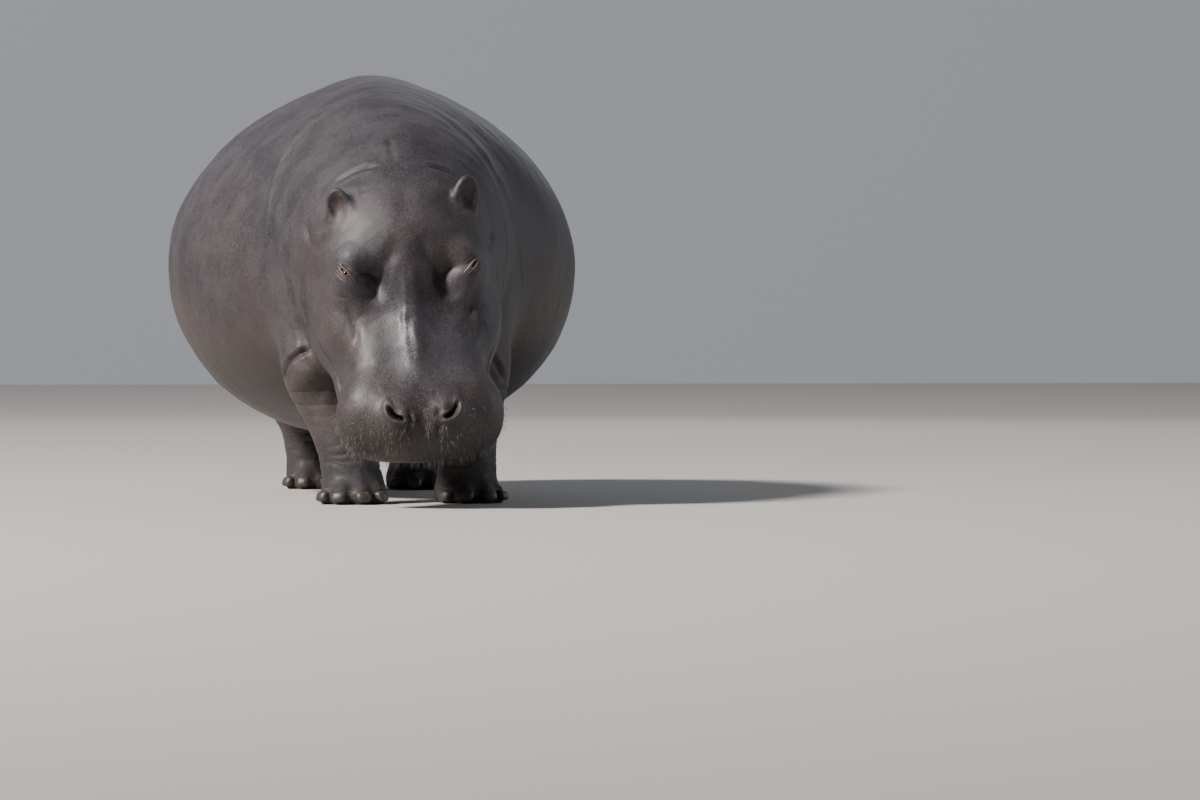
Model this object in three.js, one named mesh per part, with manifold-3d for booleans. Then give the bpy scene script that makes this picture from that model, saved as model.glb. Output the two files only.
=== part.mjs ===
// Common hippopotamus, a heavy adult standing with its head lowered: a still, life-size model.
// Millimetres, +Z up. The animal faces -Y, its left side is +X and its soles stand on z = 0.
//
// The body is one smooth form, made from named masses that blend into each other. It is meshed
// region by region, coarse on the barrel and fine on the head, and parted there with thin cuts.
import * as THREE from 'three';
import { mergeVertices } from 'three/addons/utils/BufferGeometryUtils.js';
import Module from 'manifold-3d';

const wasm = await Module();
wasm.setup();

// ---- Driving dimensions --------------------------------------------------------------------

const CUT = 0.5;                    // width of the thin cuts between sub-parts
const BACK_HEIGHT = 1500;           // barrel, without the ridge of the spine
const SPINE_RIDGE = 32;             // height of the ridge above the barrel
const BELLY_CLEARANCE = 205;
const BARREL_HALF_WIDTH = 738;

const HEAD_PITCH = 60;              // degrees below level
const HEAD_LEAN = -3.4;              // degrees about the way it faces: the muzzle to its left
const HEAD_AT = [2, -1150, 1000];   // crown of the head, midway between the ear bases
const EYE_AT = [214, 212, -6];      // on the head: sideways, ahead of the ears, up
const EYE_RADIUS = 23;
const EAR_AT = { left: [197, 26, -35], right: [195, 42, -37] };
const EAR_LENGTH = 178;
const NOSTRIL_AT = [93, 756, -14];

const SOLE_LEVEL = 0;
const NAIL_SIZE = [25, 17, 22];
const NAIL_HEIGHT = 29;

// The faceted surface, by region: the cell it is first meshed at, and the triangles that are kept
const MESH = {
  barrel: { cell: 62, triangles: 1990 },
  neck: { cell: 40, triangles: 1350 },
  head: { cell: 21, triangles: 3900 },
  leg: { cell: 32, triangles: 1000 },
  foot: { cell: 17, triangles: 412 },
  ear: { cell: 9, triangles: 1250 },
  tail: { cell: 15, triangles: 760 },
};

// ---- Forms: signed distances, negative inside ------------------------------------------------

const radians = THREE.MathUtils.degToRad;
const lerp = THREE.MathUtils.lerp;

function smoothMin(a, b, reach) {
  const h = Math.max(reach - Math.abs(a - b), 0) / reach;
  return Math.min(a, b) - h * h * reach / 4;
}

function blend(reach, ...forms) {
  return (x, y, z) => forms.reduce((d, form) => smoothMin(d, form(x, y, z), reach), 1e4);
}

function carve(reach, form, ...hollows) {
  return (x, y, z) => hollows.reduce((d, hollow) => -smoothMin(-d, hollow(x, y, z), reach), form(x, y, z));
}

// Both sides of the midline
function paired(form) {
  return (x, y, z) => form(Math.abs(x), y, z);
}

// A form given in the space of a placement matrix
function placed(matrix, form) {
  const e = matrix.clone().invert().elements;
  return (x, y, z) => form(
    e[0] * x + e[4] * y + e[8] * z + e[12],
    e[1] * x + e[5] * y + e[9] * z + e[13],
    e[2] * x + e[6] * y + e[10] * z + e[14],
  );
}

function placement([x, y, z], pitch = 0, yaw = 0, roll = 0) {
  return new THREE.Matrix4()
    .makeTranslation(x, y, z)
    .multiply(new THREE.Matrix4().makeRotationX(radians(pitch)))
    .multiply(new THREE.Matrix4().makeRotationZ(radians(yaw)))
    .multiply(new THREE.Matrix4().makeRotationY(radians(roll)));
}

function ellipsoid([cx, cy, cz], [rx, ry, rz], pitch = 0, yaw = 0, roll = 0) {
  const round = (x, y, z) => {
    const k0 = Math.hypot(x / rx, y / ry, z / rz);
    const k1 = Math.hypot(x / rx ** 2, y / ry ** 2, z / rz ** 2);
    return k1 > 0 ? k0 * (k0 - 1) / k1 : -Math.min(rx, ry, rz);
  };
  return placed(placement([cx, cy, cz], pitch, yaw, roll), round);
}

// A limb through joints [x, y, z, radius], round in section
function limb(...joints) {
  const bones = joints.slice(1).map((b, i) => {
    const a = joints[i];
    const along = [b[0] - a[0], b[1] - a[1], b[2] - a[2]];
    const square = along[0] ** 2 + along[1] ** 2 + along[2] ** 2;
    return (x, y, z) => {
      const dot = (x - a[0]) * along[0] + (y - a[1]) * along[1] + (z - a[2]) * along[2];
      const t = Math.min(Math.max(dot / square, 0), 1);
      const far = Math.hypot(x - a[0] - t * along[0], y - a[1] - t * along[1], z - a[2] - t * along[2]);
      return far - lerp(a[3], b[3], t);
    };
  });
  return blend(30, ...bones);
}

// ---- Trunk: a barrel given by its profiles from chest to rump --------------------------------

// [y, top, bottom, half width, height of the widest place]
const BARREL = [
  [-880, 1290, 470, 368, 880],
  [-640, 1410, 385, 425, 880],
  [-360, 1468, 275, 606, 850],
  [0, BACK_HEIGHT - 8, BELLY_CLEARANCE + 8, 722, 842],
  [300, BACK_HEIGHT, BELLY_CLEARANCE, BARREL_HALF_WIDTH, 842],
  [630, BACK_HEIGHT - 18, 232, 704, 850],
  [930, 1425, 330, 585, 860],
  [1150, 1310, 480, 430, 890],
];
const CHEST_DEPTH = 190;            // rounding beyond the first and last profiles
const RUMP_DEPTH = 260;
const UPPER_FULLNESS = 1.8;         // 2 is an ellipse, less is more peaked
const LOWER_FULLNESS = 2.1;
const RIDGE_HALF_WIDTH = 105;
const RIDGE_ENDS = [-520, -60, 620, 1060];   // starts, is full, starts to fade, is gone

// Smooth curve through one column of the profiles
function profile(column) {
  const curve = new THREE.CatmullRomCurve3(
    BARREL.map((row) => new THREE.Vector3(row[0], row[column], 0)), false, 'centripetal');
  const samples = curve.getPoints(240);
  return (y) => {
    if (y <= samples[0].x) return samples[0].y;
    let low = 0;
    let high = samples.length - 1;
    if (y >= samples[high].x) return samples[high].y;
    while (high - low > 1) {
      const middle = (low + high) >> 1;
      if (samples[middle].x > y) high = middle;
      else low = middle;
    }
    const a = samples[low];
    const b = samples[high];
    return lerp(a.y, b.y, (y - a.x) / (b.x - a.x));
  };
}

const [barrelTop, barrelBottom, barrelWidth, barrelMiddle] = [1, 2, 3, 4].map(profile);
const CHEST_Y = BARREL[0][0];
const RUMP_Y = BARREL.at(-1)[0];

function spineRidge(x, y) {
  const [start, full, fade, gone] = RIDGE_ENDS;
  const along = THREE.MathUtils.smoothstep(y, start, full) * (1 - THREE.MathUtils.smoothstep(y, fade, gone));
  return SPINE_RIDGE * along * Math.exp(-((x / RIDGE_HALF_WIDTH) ** 2));
}

function barrel(x, y, z) {
  const wide = barrelWidth(y);
  const middle = barrelMiddle(y);
  const upper = z > middle;
  const high = upper ? barrelTop(y) + spineRidge(x, y) - middle : middle - barrelBottom(y);
  const fullness = upper ? UPPER_FULLNESS : LOWER_FULLNESS;
  const ring = (Math.abs(x / wide) ** fullness + Math.abs((z - middle) / high) ** fullness) ** (1 / fullness);
  const beyond = y < CHEST_Y ? (CHEST_Y - y) / CHEST_DEPTH : Math.max(y - RUMP_Y, 0) / RUMP_DEPTH;
  return (Math.hypot(ring, beyond) - 1) * Math.min(wide, high);
}

const shoulders = paired(ellipsoid([232, -610, 930], [180, 235, 330], 8));
const hips = paired(ellipsoid([235, 1030, 1000], [225, 240, 300]));

// ---- Head: modelled level, looking along -Y, then turned into place ---------------------------

const HEAD = placement(HEAD_AT, 0, 0, HEAD_LEAN).multiply(placement([0, 0, 0], HEAD_PITCH));

// A point of the head: sideways from the midline, ahead of the ears, up from the crown
const onHead = (side, ahead, up) => [side, -ahead, up];
const joint = (side, ahead, up, radius) => [side, -ahead, up, radius];

function headForm() {
  const skull = ellipsoid(onHead(0, 70, -190), [218, 230, 196]);
  const forehead = ellipsoid(onHead(0, 135, -90), [212, 190, 92]);
  const crest = limb(joint(0, 60, -66, 70), joint(0, 250, -84, 62));
  const brow = paired(ellipsoid(onHead(178, 184, -62), [94, 118, 84], 0, 10, 0));
  const temple = paired(ellipsoid(onHead(184, 66, -104), [86, 124, 96]));
  const cheekbone = paired(ellipsoid(onHead(200, 280, -184), [104, 180, 112], 0, 8, 0));
  const chewing = paired(ellipsoid(onHead(212, 230, -286), [116, 176, 170], -16, 6, 0));
  const jawAngle = paired(ellipsoid(onHead(192, 240, -362), [108, 150, 118], 0, 8, 0));
  const snout = limb(joint(0, 240, -206, 160), joint(0, 470, -196, 148), joint(0, 660, -186, 148));
  const snoutSides = paired(
    limb(joint(116, 310, -158, 92), joint(122, 480, -158, 100), joint(146, 650, -164, 112)));
  const ridge = limb(joint(0, 250, -80, 56), joint(0, 470, -92, 54), joint(0, 690, -98, 60));
  const upperLip = paired(ellipsoid(onHead(126, 690, -166), [150, 148, 118], 8, 0, 0));
  const muzzleFront = ellipsoid(onHead(0, 740, -156), [196, 112, 112], 8, 0, 0);
  const lipFront = ellipsoid(onHead(0, 764, -176), [208, 76, 78], 6, 0, 0);
  const tuskBulge = paired(ellipsoid(onHead(188, 694, -186), [92, 118, 112], 0, 6, 0));
  const nostrilMound = paired(ellipsoid(onHead(94, 764, -76), [70, 84, 60], 14, 0, 0));
  const lowerJaw = limb(joint(0, 280, -340, 124), joint(0, 500, -314, 128), joint(0, 690, -266, 98));
  const jawSides = paired(
    limb(joint(176, 280, -350, 108), joint(152, 490, -320, 110), joint(126, 674, -272, 88)));
  const face = blend(62, skull, forehead, crest, temple, cheekbone, chewing, jawAngle, snout, snoutSides,
    ridge, lowerJaw, jawSides);
  const muzzle = blend(52, upperLip, muzzleFront, lipFront, tuskBulge, nostrilMound);
  const whole = blend(58, face, muzzle, brow);
  const eyePocket = paired(ellipsoid(onHead(114, 214, 6), [38, 92, 56], 0, 10, 0));
  return carve(40, whole, eyePocket);
}

// ---- Ears: a cupped leaf on a short stalk -----------------------------------------------------

const EAR_TURNS = { pitch: -56, yaw: 18, roll: 14 };   // leaf stands along +Z, its cup opens along -Y

function earPlacement(side) {
  const { pitch, yaw, roll } = EAR_TURNS;
  const [x, ahead, up] = side > 0 ? EAR_AT.left : EAR_AT.right;
  const local = placement(onHead(side * x, ahead, up), pitch, side * yaw, side * roll);
  return HEAD.clone().multiply(local);
}

const leaf = carve(6,
  ellipsoid([0, 0, EAR_LENGTH * 0.52], [50, 28, EAR_LENGTH * 0.5]),
  ellipsoid([0, -25, EAR_LENGTH * 0.56], [36, 27, EAR_LENGTH * 0.37]));
const earForm = blend(14, leaf, ellipsoid([0, 6, -2], [46, 36, 44]));

// ---- Legs -----------------------------------------------------------------------------------

// Joints [x, y, z, radius] run from the shoulder or hip to the ankle. The cut is the plane that
// parts the leg from the body. Each foot stands at [x, y], turned out a little.
const LEGS = {
  foreleg_right: {
    joints: [[-285, -640, 690, 150], [-280, -745, 480, 106], [-205, -800, 270, 94], [-160, -822, 150, 97]],
    foot: [-148, -850],
    turn: -8,
    front: true,
    cut: { at: [-262, -760, 470], pitch: -12, roll: 8 },
  },
  foreleg_left: {
    joints: [[300, -600, 690, 150], [304, -690, 480, 106], [274, -722, 270, 94], [262, -735, 150, 97]],
    foot: [258, -760],
    turn: 10,
    front: true,
    cut: { at: [286, -705, 470], pitch: -12, roll: -8 },
  },
  hindleg_right: {
    joints: [[-290, 990, 740, 230], [-258, 900, 470, 152], [-184, 985, 270, 104], [-158, 972, 150, 98]],
    foot: [-150, 940],
    turn: -8,
    front: false,
    cut: { at: [-225, 905, 440], pitch: 28, roll: 6 },
  },
  hindleg_left: {
    joints: [[300, 930, 740, 230], [284, 800, 470, 152], [232, 868, 270, 104], [218, 850, 150, 98]],
    foot: [214, 820],
    turn: 9,
    front: false,
    cut: { at: [260, 800, 440], pitch: 28, roll: -6 },
  },
};

const TOE_ANGLES = [-54, -18, 18, 54];      // degrees from straight ahead
const TOE_REACH = 92;
const TOE_SIZE = { fore: [39, 62, 46], hind: [36, 58, 43] };

function footPlacement(leg) {
  return placement([leg.foot[0], leg.foot[1], SOLE_LEVEL], 0, leg.turn, 0);
}

function toePlacement(leg, index) {
  const angle = TOE_ANGLES[index];
  const turn = radians(angle);
  const reach = TOE_REACH * (Math.abs(angle) > 30 ? 0.92 : 1.06);
  const at = [Math.sin(turn) * reach, -Math.cos(turn) * reach, 0];
  return footPlacement(leg).multiply(placement(at, 0, angle * 0.72, 0));
}

function footForm(leg) {
  const size = leg.front ? TOE_SIZE.fore : TOE_SIZE.hind;
  const pad = placed(footPlacement(leg), ellipsoid([0, 12, 34], [112, 118, 84]));
  const toes = TOE_ANGLES.map((_, i) => placed(toePlacement(leg, i), ellipsoid([0, -4, 30], size, 12)));
  return blend(16, blend(22, pad), ...toes);
}

function legForm(leg) {
  const [x, y, z, r] = leg.joints.at(-1);
  const pastern = limb([x, y, z, r], [leg.foot[0], leg.foot[1] + 14, 62, 100]);
  return blend(34, limb(...leg.joints), pastern, footForm(leg));
}

const elbows = ['foreleg_right', 'foreleg_left'].map((name) => {
  const [x, y, z] = LEGS[name].joints[1];
  return ellipsoid([x * 1.04, y - 12, z - 6], [112, 112, 118]);
});

// ---- Tail: short, hanging, flattened from side to side towards its tip -----------------------

const TAIL_ROOT = [0, 1392, 1040];  // where it leaves the rump
const TAIL_HANG = 84;               // how far behind the root the tip hangs

const [, tailY, tailZ] = TAIL_ROOT;
const tailForm = blend(24,
  limb([0, tailY - 60, tailZ + 20, 74], [0, tailY + TAIL_HANG * 0.5, tailZ - 78, 48],
    [0, tailY + TAIL_HANG, tailZ - 210, 32]),
  ellipsoid([0, tailY + TAIL_HANG, tailZ - 300], [19, 38, 136], 2));

// ---- The whole animal -------------------------------------------------------------------------

const headOnBody = placed(HEAD, headForm());

const neck = blend(120,
  limb([0, -690, 930, 400], [2, -900, 892, 338], [2, -1040, 868, 252]),
  ellipsoid([2, -985, 930], [266, 210, 180], 40),
  ellipsoid([2, -890, 640], [262, 200, 210], 40));

const torso = blend(90, barrel, shoulders, hips, neck);
const limbs = Object.values(LEGS).map(legForm);
const ears = [1, -1].map((side) => placed(earPlacement(side), earForm));
const body = blend(20,
  blend(66, blend(70, torso, ...limbs, ...elbows), headOnBody),
  blend(20, tailForm, ...ears));

// ---- Meshing: surface nets, with every vertex drawn onto the surface -------------------------

const CORNERS = [0, 1, 2, 3, 4, 5, 6, 7].map((i) => [i & 1, (i >> 1) & 1, (i >> 2) & 1]);
const EDGES = [
  [0, 1], [2, 3], [4, 5], [6, 7],
  [0, 2], [1, 3], [4, 6], [5, 7],
  [0, 4], [1, 5], [2, 6], [3, 7],
];
const FACES = [[0, 2, 6, 4], [1, 3, 7, 5], [0, 1, 5, 4], [2, 3, 7, 6], [0, 1, 3, 2], [4, 5, 7, 6]];
const edgeBetween = (a, b) => EDGES.findIndex(([c, d]) => (a === c && b === d) || (a === d && b === c));
const FACE_EDGES = FACES.map((ring) => ring.map((corner, n) => edgeBetween(corner, ring[(n + 1) % 4])));
const DRAW_STEPS = 4;
const DRAW_REACH = 0.4;             // of a cell

// Moves a point onto the surface along the slope of the form
function drawOntoSurface(form, point, cell) {
  const start = [...point];
  const p = [...point];
  for (let n = 0; n < DRAW_STEPS; n += 1) {
    const d = form(...p);
    const [x, y, z] = p;
    const slope = [form(x + 1, y, z) - d, form(x, y + 1, z) - d, form(x, y, z + 1) - d];
    const square = Math.max(slope[0] ** 2 + slope[1] ** 2 + slope[2] ** 2, 0.04);
    for (let i = 0; i < 3; i += 1) {
      const reach = cell * DRAW_REACH;
      p[i] = THREE.MathUtils.clamp(p[i] - d * slope[i] / square, start[i] - reach, start[i] + reach);
    }
  }
  return p;
}

// The crossed edges of one cell, in groups: each group is one sheet of the surface
function sheetsOf(inside) {
  const group = EDGES.map(([a, b], n) => (inside[a] !== inside[b] ? n : -1));
  const join = (a, b) => {
    const [from, to] = [group[a], group[b]];
    group.forEach((g, n) => {
      if (g === from) group[n] = to;
    });
  };
  FACES.forEach((ring, f) => {
    const crossed = FACE_EDGES[f].filter((edge) => group[edge] >= 0);
    if (crossed.length === 2) join(...crossed);
    if (crossed.length === 4) {
      ring.forEach((corner, n) => {
        if (inside[corner]) join(FACE_EDGES[f][n], FACE_EDGES[f][(n + 3) % 4]);
      });
    }
  });
  return group;
}

// Closed faceted surface of a form within a box
function surface(form, low, high, cell) {
  const [nx, ny, nz] = low.map((v, i) => Math.ceil((high[i] - v) / cell) + 1);
  const at = (i, j, k) => (k * ny + j) * nx + i;
  const each = (from, to, visit) => {
    for (let k = from; k < nz - to; k += 1) {
      for (let j = from; j < ny - to; j += 1) {
        for (let i = from; i < nx - to; i += 1) visit(i, j, k);
      }
    }
  };
  const onRim = (i, j, k, far) => Math.min(i, j, k) === 0
    || i === nx - far || j === ny - far || k === nz - far;
  const value = new Float64Array(nx * ny * nz);
  each(0, 0, (i, j, k) => {
    const d = form(low[0] + i * cell, low[1] + j * cell, low[2] + k * cell);
    value[at(i, j, k)] = onRim(i, j, k, 1) ? Math.max(d, cell * 0.3) : d;
  });

  const positions = [];
  const vertexOn = new Map();       // cell * 12 + crossed edge -> vertex
  each(0, 1, (i, j, k) => {
    const d = CORNERS.map(([a, b, c]) => value[at(i + a, j + b, k + c)]);
    const inside = d.map((v) => v < 0);
    if (inside.every((v) => v === inside[0])) return;
    const group = sheetsOf(inside);
    for (const sheet of new Set(group.filter((g) => g >= 0))) {
      const edges = EDGES.map((_, n) => n).filter((n) => group[n] === sheet);
      const middle = [0, 1, 2].map((axis) => edges.reduce((sum, n) => {
        const [a, b] = EDGES[n];
        return sum + lerp(CORNERS[a][axis], CORNERS[b][axis], d[a] / (d[a] - d[b]));
      }, 0) / edges.length);
      const p = [i, j, k].map((n, axis) => low[axis] + (n + middle[axis]) * cell);
      edges.forEach((n) => vertexOn.set(at(i, j, k) * 12 + n, positions.length / 3));
      positions.push(...(onRim(i, j, k, 2) ? p : drawOntoSurface(form, p, cell)));
    }
  });

  const faces = [];
  const distance = (a, b) => Math.hypot(...[0, 1, 2].map((n) => positions[a * 3 + n] - positions[b * 3 + n]));
  const quad = (ring) => {
    const [a, b, c, d] = ring;
    if (distance(a, c) <= distance(b, d)) faces.push(a, b, c, a, c, d);
    else faces.push(b, c, d, b, d, a);
  };
  // Around each crossed grid edge lie four cells; the edge has its own number in each of them
  const AROUND = [
    { step: [1, 0, 0], cells: [[0, 1, 1, 3], [0, 0, 1, 2], [0, 0, 0, 0], [0, 1, 0, 1]] },
    { step: [0, 1, 0], cells: [[1, 0, 1, 7], [1, 0, 0, 5], [0, 0, 0, 4], [0, 0, 1, 6]] },
    { step: [0, 0, 1], cells: [[1, 1, 0, 11], [0, 1, 0, 10], [0, 0, 0, 8], [1, 0, 0, 9]] },
  ];
  each(0, 1, (i, j, k) => {
    const inside = value[at(i, j, k)] < 0;
    for (const { step, cells } of AROUND) {
      if (inside === value[at(i + step[0], j + step[1], k + step[2])] < 0) continue;
      const ring = cells.map(([a, b, c, edge]) => vertexOn.get(at(i - a, j - b, k - c) * 12 + edge));
      quad(inside ? ring : ring.reverse());
    }
  });
  return { positions, faces };
}

// ---- Thinning: fewer, larger triangles where the surface is flatter ---------------------------

const EVENNESS = 0.004;             // how much a long edge counts against a collapse
const LEAST_TURN = 0.35;            // cosine of the most that a face may turn in one collapse

// The sum of squared distances to a set of planes, kept as ten numbers
function planeSum(normal, offset, weight) {
  const row = [...normal, offset];
  return [0, 1, 2, 3].flatMap((i) => [0, 1, 2, 3].slice(i).map((j) => row[i] * row[j] * weight));
}

function planeError(q, [x, y, z]) {
  return q[0] * x * x + q[4] * y * y + q[7] * z * z + q[9]
    + 2 * (q[1] * x * y + q[2] * x * z + q[3] * x + q[5] * y * z + q[6] * y + q[8] * z);
}

function thinned({ positions, faces }, form, target) {
  const points = [];
  for (let n = 0; n < positions.length; n += 3) points.push(positions.slice(n, n + 3));
  const corners = [];
  for (let n = 0; n < faces.length; n += 3) corners.push(faces.slice(n, n + 3));
  const facesAt = points.map(() => new Set());
  corners.forEach((face, n) => face.forEach((v) => facesAt[v].add(n)));

  const faceNormal = (a, b, c) => {
    const [u, v] = [b.map((e, i) => e - a[i]), c.map((e, i) => e - a[i])];
    const n = [u[1] * v[2] - u[2] * v[1], u[2] * v[0] - u[0] * v[2], u[0] * v[1] - u[1] * v[0]];
    const size = Math.hypot(...n) || 1e-9;
    return { n: n.map((e) => e / size), area: size / 2 };
  };
  const sums = points.map(() => new Array(10).fill(0));
  for (const face of corners) {
    const [a, b, c] = face.map((v) => points[v]);
    const { n, area } = faceNormal(a, b, c);
    const sum = planeSum(n, -(n[0] * a[0] + n[1] * a[1] + n[2] * a[2]), area);
    face.forEach((v) => sum.forEach((e, i) => { sums[v][i] += e; }));
  }

  const neighbours = (v) => {
    const found = new Set();
    for (const n of facesAt[v]) corners[n].forEach((w) => found.add(w));
    found.delete(v);
    return found;
  };
  const turnsOver = (v, other, to) => [...facesAt[v]].some((n) => {
    if (corners[n].includes(other)) return false;
    const before = faceNormal(...corners[n].map((w) => points[w]));
    const after = faceNormal(...corners[n].map((w) => (w === v ? to : points[w])));
    return before.n.reduce((sum, e, i) => sum + e * after.n[i], 0) < LEAST_TURN;
  });

  let left = corners.length;
  while (left > target) {
    const edges = [];
    points.forEach((p, a) => {
      for (const b of neighbours(a)) {
        if (b < a) continue;
        const sum = sums[a].map((e, i) => e + sums[b][i]);
        const middle = p.map((e, i) => (e + points[b][i]) / 2);
        const long = Math.hypot(...p.map((e, i) => e - points[b][i]));
        edges.push({ a, b, sum, middle, long, cost: planeError(sum, middle) + EVENNESS * long ** 4 });
      }
    });
    edges.sort((e, f) => e.cost - f.cost);
    const touched = new Set();
    const before = left;
    for (const { a, b, sum, middle, long } of edges.slice(0, Math.ceil(edges.length / 3))) {
      if (left <= target) break;
      if (touched.has(a) || touched.has(b)) continue;
      const [nearA, nearB] = [neighbours(a), neighbours(b)];
      if ([...nearA].filter((v) => nearB.has(v)).length !== 2) continue;
      const to = drawOntoSurface(form, middle, long);
      if (turnsOver(a, b, to) || turnsOver(b, a, to)) continue;
      points[a] = to;
      sums[a] = sum;
      for (const n of [...facesAt[b]]) {
        if (corners[n].includes(a)) {
          corners[n].forEach((v) => facesAt[v].delete(n));
          corners[n] = null;
          left -= 1;
        } else {
          corners[n] = corners[n].map((v) => (v === b ? a : v));
          facesAt[a].add(n);
        }
      }
      facesAt[b].clear();
      [a, ...nearA, ...nearB].forEach((v) => touched.add(v));
    }
    if (left === before) break;
  }
  const kept = corners.filter((face) => face);
  const used = [...new Set(kept.flat())];
  const number = new Map(used.map((v, n) => [v, n]));
  return { positions: used.flatMap((v) => points[v]), faces: kept.flat().map((v) => number.get(v)) };
}

// ---- Joining and cutting ----------------------------------------------------------------------

function solidFrom(positions, faces) {
  return new wasm.Manifold(new wasm.Mesh({
    numProp: 3,
    vertProperties: new Float32Array(positions),
    triVerts: new Uint32Array(faces),
  }));
}

function solidOf(geometry, matrix) {
  const bare = geometry.clone();
  bare.deleteAttribute('normal');
  bare.deleteAttribute('uv');
  const merged = mergeVertices(bare, 1e-3);
  merged.applyMatrix4(matrix);
  return solidFrom(merged.attributes.position.array, merged.index.array);
}

// A block given by its corners in the space of a placement, grown by a margin
function block(matrix, low, high, margin = 0) {
  const size = high.map((v, i) => v - low[i] + 2 * margin);
  const middle = high.map((v, i) => (v + low[i]) / 2);
  const shape = new THREE.BoxGeometry(...size);
  shape.translate(...middle);
  return solidOf(shape, matrix);
}


const identity = new THREE.Matrix4();
const FAR = 1800;

// Zones: the space of each sub-part, parted by planes
const ground = block(identity, [-FAR, -FAR, SOLE_LEVEL - FAR], [FAR, FAR, SOLE_LEVEL]);
const neckZone = (margin) => block(placement([0, -790, 900], -11), [-FAR, -FAR, -FAR], [FAR, 0, FAR], margin);
const headZone = (margin) => block(
  HEAD.clone().multiply(placement(onHead(0, -66, 20), -36)), [-620, -1300, -800], [620, 0, 700], margin);
const muzzleZone = (margin) => block(HEAD, onHead(-620, 1300, -700), onHead(620, 565, 400), margin);
const jawZone = (margin) => block(HEAD, onHead(-620, 1300, -760), onHead(620, 330, -262), margin);
const tailZone = (margin) => block(
  placement([0, tailY + 12, tailZ], -3), [-120, 0, -640], [120, 260, 60], margin);

function earZone(side, margin) {
  return block(earPlacement(side), [-74, -62, 48], [74, 62, 260], margin);
}

function legZone(leg, margin) {
  const { at, pitch, roll } = leg.cut;
  const thick = leg.front ? [262, 195] : [215, 250];
  return block(placement(at, pitch, 0, roll), [-thick[0], -thick[1], -420], [...thick, 0], margin)
    .add(footZone(leg, margin));
}

function footZone(leg, margin) {
  const [x, y] = leg.foot;
  return block(identity, [x - 190, y - 210, SOLE_LEVEL], [x + 190, y + 190, 142], margin);
}

const eyeMatrix = (side) => HEAD.clone().multiply(placement(onHead(side * EYE_AT[0], EYE_AT[1], EYE_AT[2])));
const eyeball = (side, margin) => solidOf(
  new THREE.SphereGeometry(EYE_RADIUS + margin, 10, 7), eyeMatrix(side));

function nostril(side) {
  const [x, ahead, up] = NOSTRIL_AT;
  const matrix = HEAD.clone().multiply(placement(onHead(side * x, ahead, up), 0, -42 * side, 0));
  return solidOf(new THREE.SphereGeometry(1, 8, 6), matrix.scale(new THREE.Vector3(15, 38, 34)));
}

function nail(leg, index, margin) {
  const [wide, deep, high] = NAIL_SIZE.map((v) => v + margin);
  const front = (leg.front ? TOE_SIZE.fore : TOE_SIZE.hind)[1];
  const matrix = toePlacement(leg, index).multiply(placement([0, 8 - front, NAIL_HEIGHT], 14));
  return solidOf(new THREE.SphereGeometry(1, 6, 4), matrix.scale(new THREE.Vector3(wide, deep, high)));
}

// ---- Sub-parts --------------------------------------------------------------------------------

const SKINS = {
  back: { color: 0x4a4145, roughness: 0.6 },
  face: { color: 0x51474a, roughness: 0.5 },
  ear: { color: 0x6b4638, roughness: 0.65 },
  leg: { color: 0x473f42, roughness: 0.65 },
  eye: { color: 0x24140d, roughness: 0.08 },
  nail: { color: 0x3a302b, roughness: 0.45 },
};

const animal = new THREE.Group();

function part(name, solid, skin) {
  const { vertProperties, triVerts } = solid.getMesh();
  const geometry = new THREE.BufferGeometry();
  geometry.setAttribute('position', new THREE.BufferAttribute(vertProperties, 3));
  geometry.setIndex(new THREE.BufferAttribute(triVerts, 1));
  geometry.computeVertexNormals();
  const mesh = new THREE.Mesh(geometry, new THREE.MeshStandardMaterial({ ...SKINS[skin], metalness: 0 }));
  mesh.name = name;
  animal.add(mesh);
}

const subtractAll = (solid, ...tools) => tools.reduce((rest, tool) => rest.subtract(tool), solid);
const meshed = (low, high, { cell, triangles }) => {
  const { positions, faces } = thinned(surface(body, low, high, cell), body, triangles);
  return solidFrom(positions, faces).subtract(ground);
};
const around = ([x, y, z], [dx, dy, below, above], mesh) => meshed(
  [x - dx, y - dy, z - below], [x + dx, y + dy, z + above], mesh);

const legs = Object.values(LEGS);
const legTools = legs.map((leg) => legZone(leg, CUT));
const SIDES = { left: 1, right: -1 };
const earTools = Object.values(SIDES).map((side) => earZone(side, CUT));

// Trunk and neck
part('trunk', subtractAll(meshed([-870, -1100, 20], [870, 1560, 1640], MESH.barrel),
  neckZone(CUT), tailZone(CUT), ...legTools), 'back');
part('neck', subtractAll(meshed([-560, -1400, 300], [560, -520, 1480], MESH.neck).intersect(neckZone(0)),
  headZone(CUT), ...earTools, ...legTools), 'back');

// Head
const wholeHead = subtractAll(
  meshed([-480, -1660, 80], [480, -780, 1240], MESH.head).intersect(neckZone(0)).intersect(headZone(0)),
  ...legTools);
part('lower_jaw', wholeHead.intersect(jawZone(0)), 'face');
const upperHead = wholeHead.subtract(jawZone(CUT));
part('muzzle', subtractAll(upperHead.intersect(muzzleZone(0)), nostril(1), nostril(-1)), 'face');
part('head', subtractAll(upperHead, muzzleZone(CUT), ...earTools, eyeball(1, CUT), eyeball(-1, CUT)), 'face');
for (const [name, side] of Object.entries(SIDES)) {
  part(`eye_${name}`, eyeball(side, 0), 'eye');
  const root = new THREE.Vector3(0, 0, 90).applyMatrix4(earPlacement(side)).toArray();
  part(`ear_${name}`, around(root, [120, 120, 130, 130], MESH.ear).intersect(earZone(side, 0)), 'ear');
}

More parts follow.
